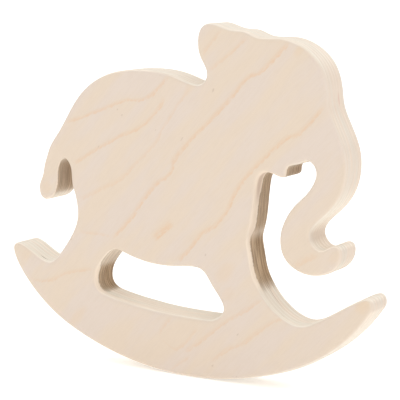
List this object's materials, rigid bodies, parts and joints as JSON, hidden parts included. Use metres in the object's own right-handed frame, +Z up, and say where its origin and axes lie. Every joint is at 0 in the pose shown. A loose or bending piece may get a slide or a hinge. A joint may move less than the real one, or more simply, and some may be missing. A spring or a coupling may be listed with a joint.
{
  "type": "rocking elephant figure",
  "caption": "Rocking elephant figure sawn from birch plywood board: rounded edges, hanging tail, S-curved trunk, raised ear lobe and a crescent rocker joining its legs; bare wood.",
  "frame": {"origin": "the point of the rocker's underside that touches the floor at rest, half-way through the board's thickness", "axes": "+X forward along the elephant, +Y through the board away from the show face, +Z up at rest"},
  "size_m": [0.2175, 0.018, 0.1807],
  "materials": {
    "birch_face": "bare, sanded",
    "birch_core": "bare, sawn edge",
    "birch_crossband": "bare, sawn end grain"
  },
  "bodies": {
    "root": {"front_face_veneer": "birch_face", "crossband_02": "birch_crossband", "core_veneer_03": "birch_core", "crossband_04": "birch_crossband", "core_veneer_05": "birch_core", "crossband_06": "birch_crossband", "core_veneer_07": "birch_core", "crossband_08": "birch_crossband", "core_veneer_09": "birch_core", "crossband_10": "birch_crossband", "core_veneer_11": "birch_core", "crossband_12": "birch_crossband", "back_face_veneer": "birch_face"}
  },
  "joints": []
}
